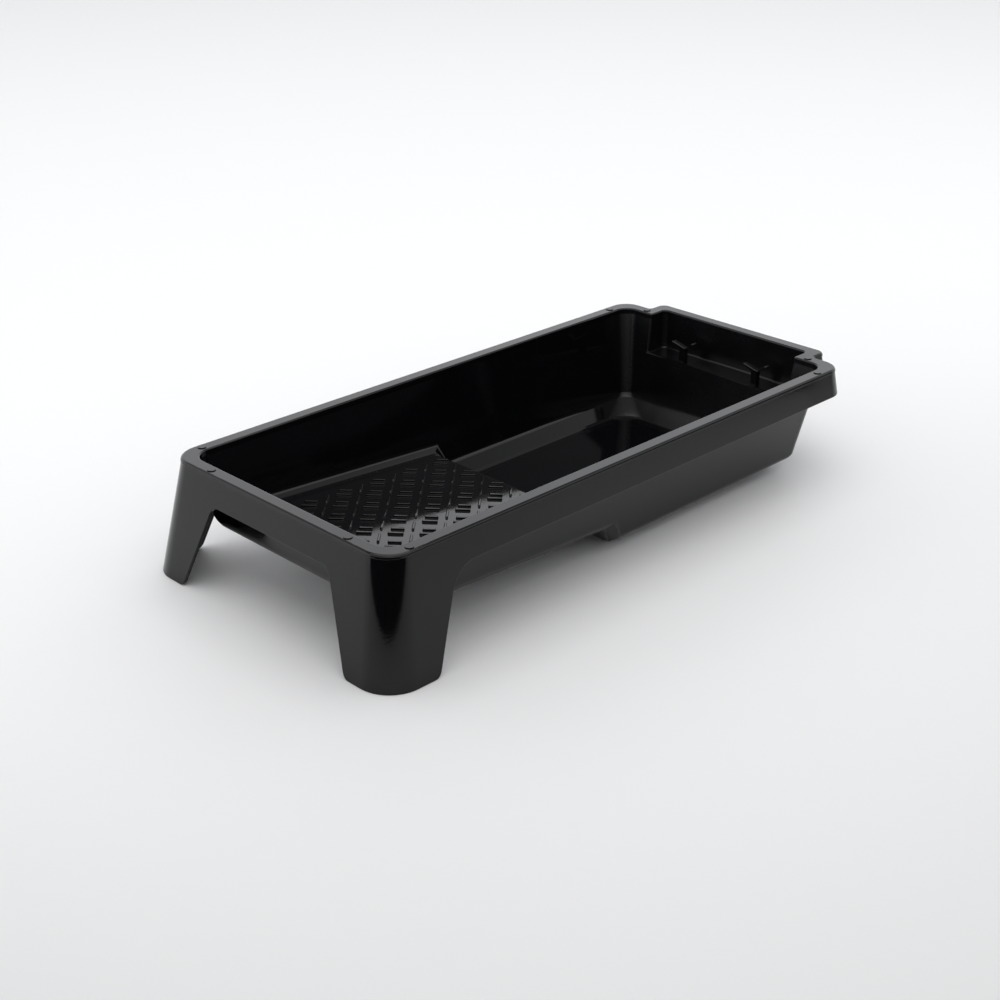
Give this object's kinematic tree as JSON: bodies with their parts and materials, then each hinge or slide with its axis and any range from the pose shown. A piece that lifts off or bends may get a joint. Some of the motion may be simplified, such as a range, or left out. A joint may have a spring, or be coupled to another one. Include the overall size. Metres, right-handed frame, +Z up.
{
  "type": "paint roller tray",
  "caption": "Mini paint roller tray: a black one-piece moulding with a ribbed ramp, a paint well, a rear tool ledge with two wire cradles, and two flared front legs.",
  "frame": {"origin": "Middle of the footprint's bounding box, on the table that the well's underside and the legs' edges stand on.", "axes": "X runs across the tray, its plane of symmetry is X = 0. Y runs along it, from the legs (-Y) to the ledge (+Y). Z is up."},
  "size_m": [0.1706, 0.338, 0.0579],
  "materials": {
    "shell": "glossy black polypropylene, moulded, with faint sink marks",
    "basin": "glossy black polypropylene, smooth and wipe-clean",
    "tread": "glossy black polypropylene, raised bars with soft edges"
  },
  "bodies": {
    "root": {"rim_flange": "shell", "stacking_nubs": "shell", "skirt_front": "shell", "skirt_left": "shell", "skirt_right": "shell", "skirt_back": "shell", "leg_left": "shell", "leg_right": "shell", "gussets_side": "shell", "gussets_end": "shell", "wall_front": "basin", "wall_left": "basin", "wall_right": "basin", "wall_back": "basin", "shoulder_left": "basin", "shoulder_right": "basin", "ledge_wall": "basin", "ledge_floor": "basin", "ramp_chamfer": "basin", "well_chamfer": "basin", "ramp_plate": "basin", "grip_bars": "tread", "well_step": "basin", "well_floor": "basin", "cradle_post_left": "basin", "cradle_post_right": "basin", "cradle_left": "basin", "cradle_right": "basin"}
  },
  "joints": []
}
